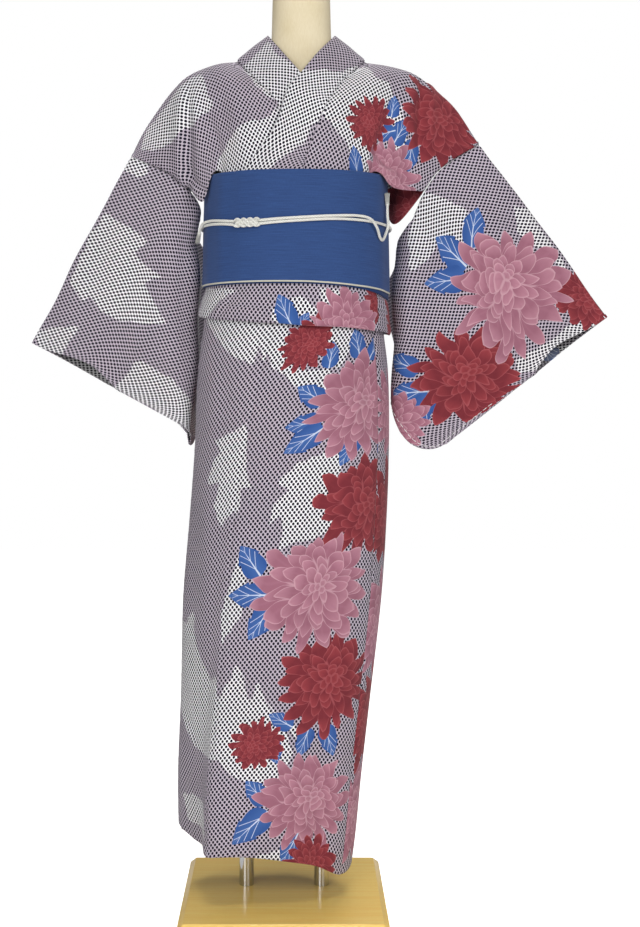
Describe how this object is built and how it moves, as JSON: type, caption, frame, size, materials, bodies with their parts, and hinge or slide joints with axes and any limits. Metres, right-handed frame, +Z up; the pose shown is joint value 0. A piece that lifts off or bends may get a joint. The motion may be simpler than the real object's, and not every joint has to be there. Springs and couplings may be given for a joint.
{
  "type": "yukata robe on a dress form stand",
  "caption": "Cotton yukata robe with flower print, wrapped left over right and tied with a sash and cord, worn by a limbless dress form on a wooden base.",
  "frame": {"origin": "centre of the underside of the wooden base, on the floor", "axes": "+Z up, +X to the wearer's left, -Y the way the robe faces"},
  "size_m": [0.8599, 0.3441, 1.38],
  "materials": {
    "yukata_cotton": "plain woven cotton with a printed dot ground and flowers",
    "sash_weave": "blue slub weave, matt",
    "cord_braid": "off-white braided cord",
    "form_jersey": "cream jersey stretched over the form",
    "base_wood": "honey varnish with a moulded edge",
    "pole_chrome": "polished chrome"
  },
  "bodies": {
    "root": {"body_left_upper": "yukata_cotton", "body_right_upper": "yukata_cotton", "collar": "yukata_cotton", "sleeve_left": "yukata_cotton", "sleeve_right": "yukata_cotton", "okumi_right_skirt": "yukata_cotton", "front_right_skirt": "yukata_cotton", "back_right_skirt": "yukata_cotton", "back_left_skirt": "yukata_cotton", "front_left_skirt": "yukata_cotton", "okumi_left_skirt": "yukata_cotton", "tuck_front": "yukata_cotton", "tuck_back": "yukata_cotton", "sash_inner_wrap": "sash_weave", "sash_outer_wrap": "sash_weave", "sash_tie": "sash_weave", "cord_loop": "cord_braid", "cord_end_left": "cord_braid", "cord_end_right": "cord_braid", "cord_knot": "cord_braid", "tassel_left": "cord_braid", "tassel_right": "cord_braid", "dress_form": "form_jersey", "stand_base": "base_wood", "pole_left": "pole_chrome", "pole_right": "pole_chrome"}
  },
  "joints": []
}
